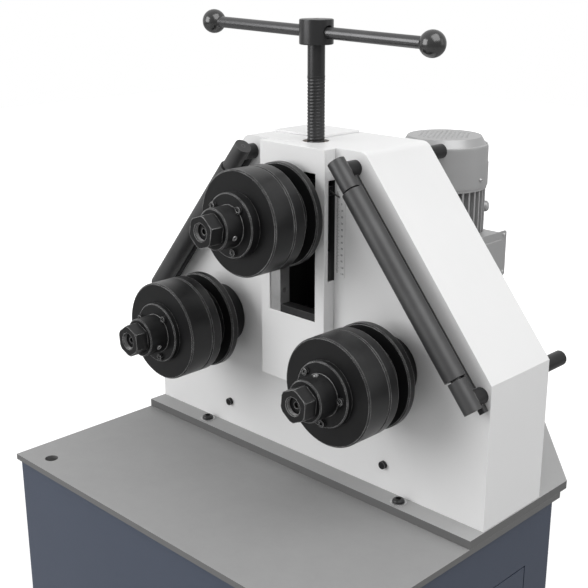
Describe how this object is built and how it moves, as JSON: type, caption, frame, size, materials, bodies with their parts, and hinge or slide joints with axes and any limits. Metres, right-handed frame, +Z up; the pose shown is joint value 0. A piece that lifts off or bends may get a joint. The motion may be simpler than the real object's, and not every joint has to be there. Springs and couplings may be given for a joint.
{
  "type": "ring roller",
  "caption": "Floor-standing ring roller: idle press roll on a screw-driven slide above paired geared rolls, side guide bars, rear gearmotor and sheet-steel stand.",
  "frame": {"origin": "on the floor, below the middle of the housing's front plate, on the foot frame's cross member", "axes": "+X to the right seen from the rolls' side, +Y from the rolls towards the motor, +Z up"},
  "size_m": [0.7559, 0.729, 1.3881],
  "materials": {
    "stand_paint": "blue-grey semi-gloss paint",
    "plate_paint": "mid grey semi-gloss paint",
    "housing_white": "white semi-gloss paint",
    "black_steel": "black-oxide turned steel",
    "ground_steel": "ground bright steel",
    "black_ball": "polished black plastic",
    "motor_paint": "silver-grey paint on cast aluminium",
    "bronze": "cast bronze",
    "scale_face": "matt silver sheet",
    "fan_plastic": "black moulded plastic"
  },
  "bodies": {
    "machine": {"foot_frame": "stand_paint", "front_panel": "stand_paint", "rear_panel": "stand_paint", "left_panel": "stand_paint", "right_panel": "stand_paint", "inner_shelf": "stand_paint", "table_plate": "plate_paint", "base_plate": "plate_paint", "base_bolts": "black_steel", "front_plate": "housing_white", "housing_wrap": "housing_white", "rear_plate": "housing_white", "top_cover": "housing_white", "plate_plugs": "black_steel", "slide_box": "housing_white", "keepers": "ground_steel", "cross_bar": "ground_steel", "slide_guides": "ground_steel", "nut_block": "black_steel", "screw_nut": "bronze", "scale_plate": "scale_face", "front_bearings": "black_steel", "rear_bearings": "black_steel", "guide_studs": "black_steel", "guide_holders": "black_steel", "gearbox_case": "motor_paint", "motor_body": "motor_paint", "fan_cover": "motor_paint", "terminal_box": "motor_paint"},
    "service_door": {"door": "stand_paint"},
    "door_catch": {"door_lock": "ground_steel"},
    "press_slide": {"slide": "ground_steel", "thrust_cap": "black_steel", "pointer": "black_steel"},
    "screw": {"press_screw": "black_steel"},
    "handle_bar": {"tommy_bar": "black_steel", "ball_knobs": "black_ball"},
    "top_roll": {"top_rolls": "black_steel", "top_rear_disc": "black_steel", "top_hub": "black_steel", "top_nut": "black_steel", "top_shaft": "black_steel"},
    "left_roll": {"left_rolls": "black_steel", "left_rear_disc": "black_steel", "left_hub": "black_steel", "left_nut": "black_steel", "left_shaft": "black_steel", "left_gear": "ground_steel"},
    "right_roll": {"right_rolls": "black_steel", "right_rear_disc": "black_steel", "right_hub": "black_steel", "right_nut": "black_steel", "right_shaft": "black_steel", "right_gear": "ground_steel"},
    "gearbox_output": {"drive_pinion": "ground_steel", "worm_wheel": "bronze"},
    "motor_rotor": {"motor_shaft": "black_steel", "motor_fan": "fan_plastic"},
    "left_guide": {"left_sleeve": "black_steel"},
    "right_guide": {"right_sleeve": "black_steel"}
  },
  "joints": [
    {"name": "slide_travel", "type": "slide", "parent": "machine", "child": "press_slide", "axis": [0, 0, -1], "range_m": [0, 0.12]},
    {"name": "screw_turn", "type": "hinge", "parent": "press_slide", "child": "screw", "pos_m": [0, 0.031, 1.264], "axis": [0, 0, -1], "range_deg": [0, 8640]},
    {"name": "bar_slide", "type": "slide", "parent": "screw", "child": "handle_bar", "axis": [0.9995, 0, -0.0332], "range_m": [-0.174, 0.188]},
    {"name": "top_roll_spin", "type": "hinge", "parent": "press_slide", "child": "top_roll", "pos_m": [0, -0.1, 1.089], "axis": [0, 1, 0], "continuous": true},
    {"name": "motor_spin", "type": "hinge", "parent": "machine", "child": "motor_rotor", "pos_m": [0.063, 0.281, 1.064], "axis": [0, 0, 1], "continuous": true},
    {"name": "output_spin", "type": "hinge", "parent": "machine", "child": "gearbox_output", "pos_m": [0, 0.281, 0.874], "axis": [0, 1, 0], "continuous": true},
    {"name": "left_roll_spin", "type": "hinge", "parent": "machine", "child": "left_roll", "pos_m": [-0.189, -0.1, 0.874], "axis": [0, 1, 0], "continuous": true},
    {"name": "right_roll_spin", "type": "hinge", "parent": "machine", "child": "right_roll", "pos_m": [0.189, -0.1, 0.874], "axis": [0, 1, 0], "continuous": true},
    {"name": "left_sleeve_spin", "type": "hinge", "parent": "machine", "child": "left_guide", "pos_m": [-0.23255, -0.032, 1.02266], "axis": [-0.638, 0, -0.7701], "continuous": true},
    {"name": "right_sleeve_spin", "type": "hinge", "parent": "machine", "child": "right_guide", "pos_m": [0.23255, -0.032, 1.02266], "axis": [0.638, 0, -0.7701], "continuous": true},
    {"name": "door_swing", "type": "hinge", "parent": "machine", "child": "service_door", "pos_m": [0.3745, -0.21625, 0.33], "axis": [0, 0, -1], "range_deg": [0, 110]},
    {"name": "catch_turn", "type": "hinge", "parent": "service_door", "child": "door_catch", "pos_m": [0.3685, 0.099, 0.3295], "axis": [1, 0, 0], "range_deg": [0, 90]}
  ],
  "couplings": [
    {"joint": "slide_travel", "follows": "screw_turn", "m_per_rad": 0.00079577},
    {"joint": "output_spin", "follows": "motor_spin", "ratio": 0.016667},
    {"joint": "left_roll_spin", "follows": "motor_spin", "ratio": -0.0083333},
    {"joint": "right_roll_spin", "follows": "motor_spin", "ratio": -0.0083333}
  ]
}
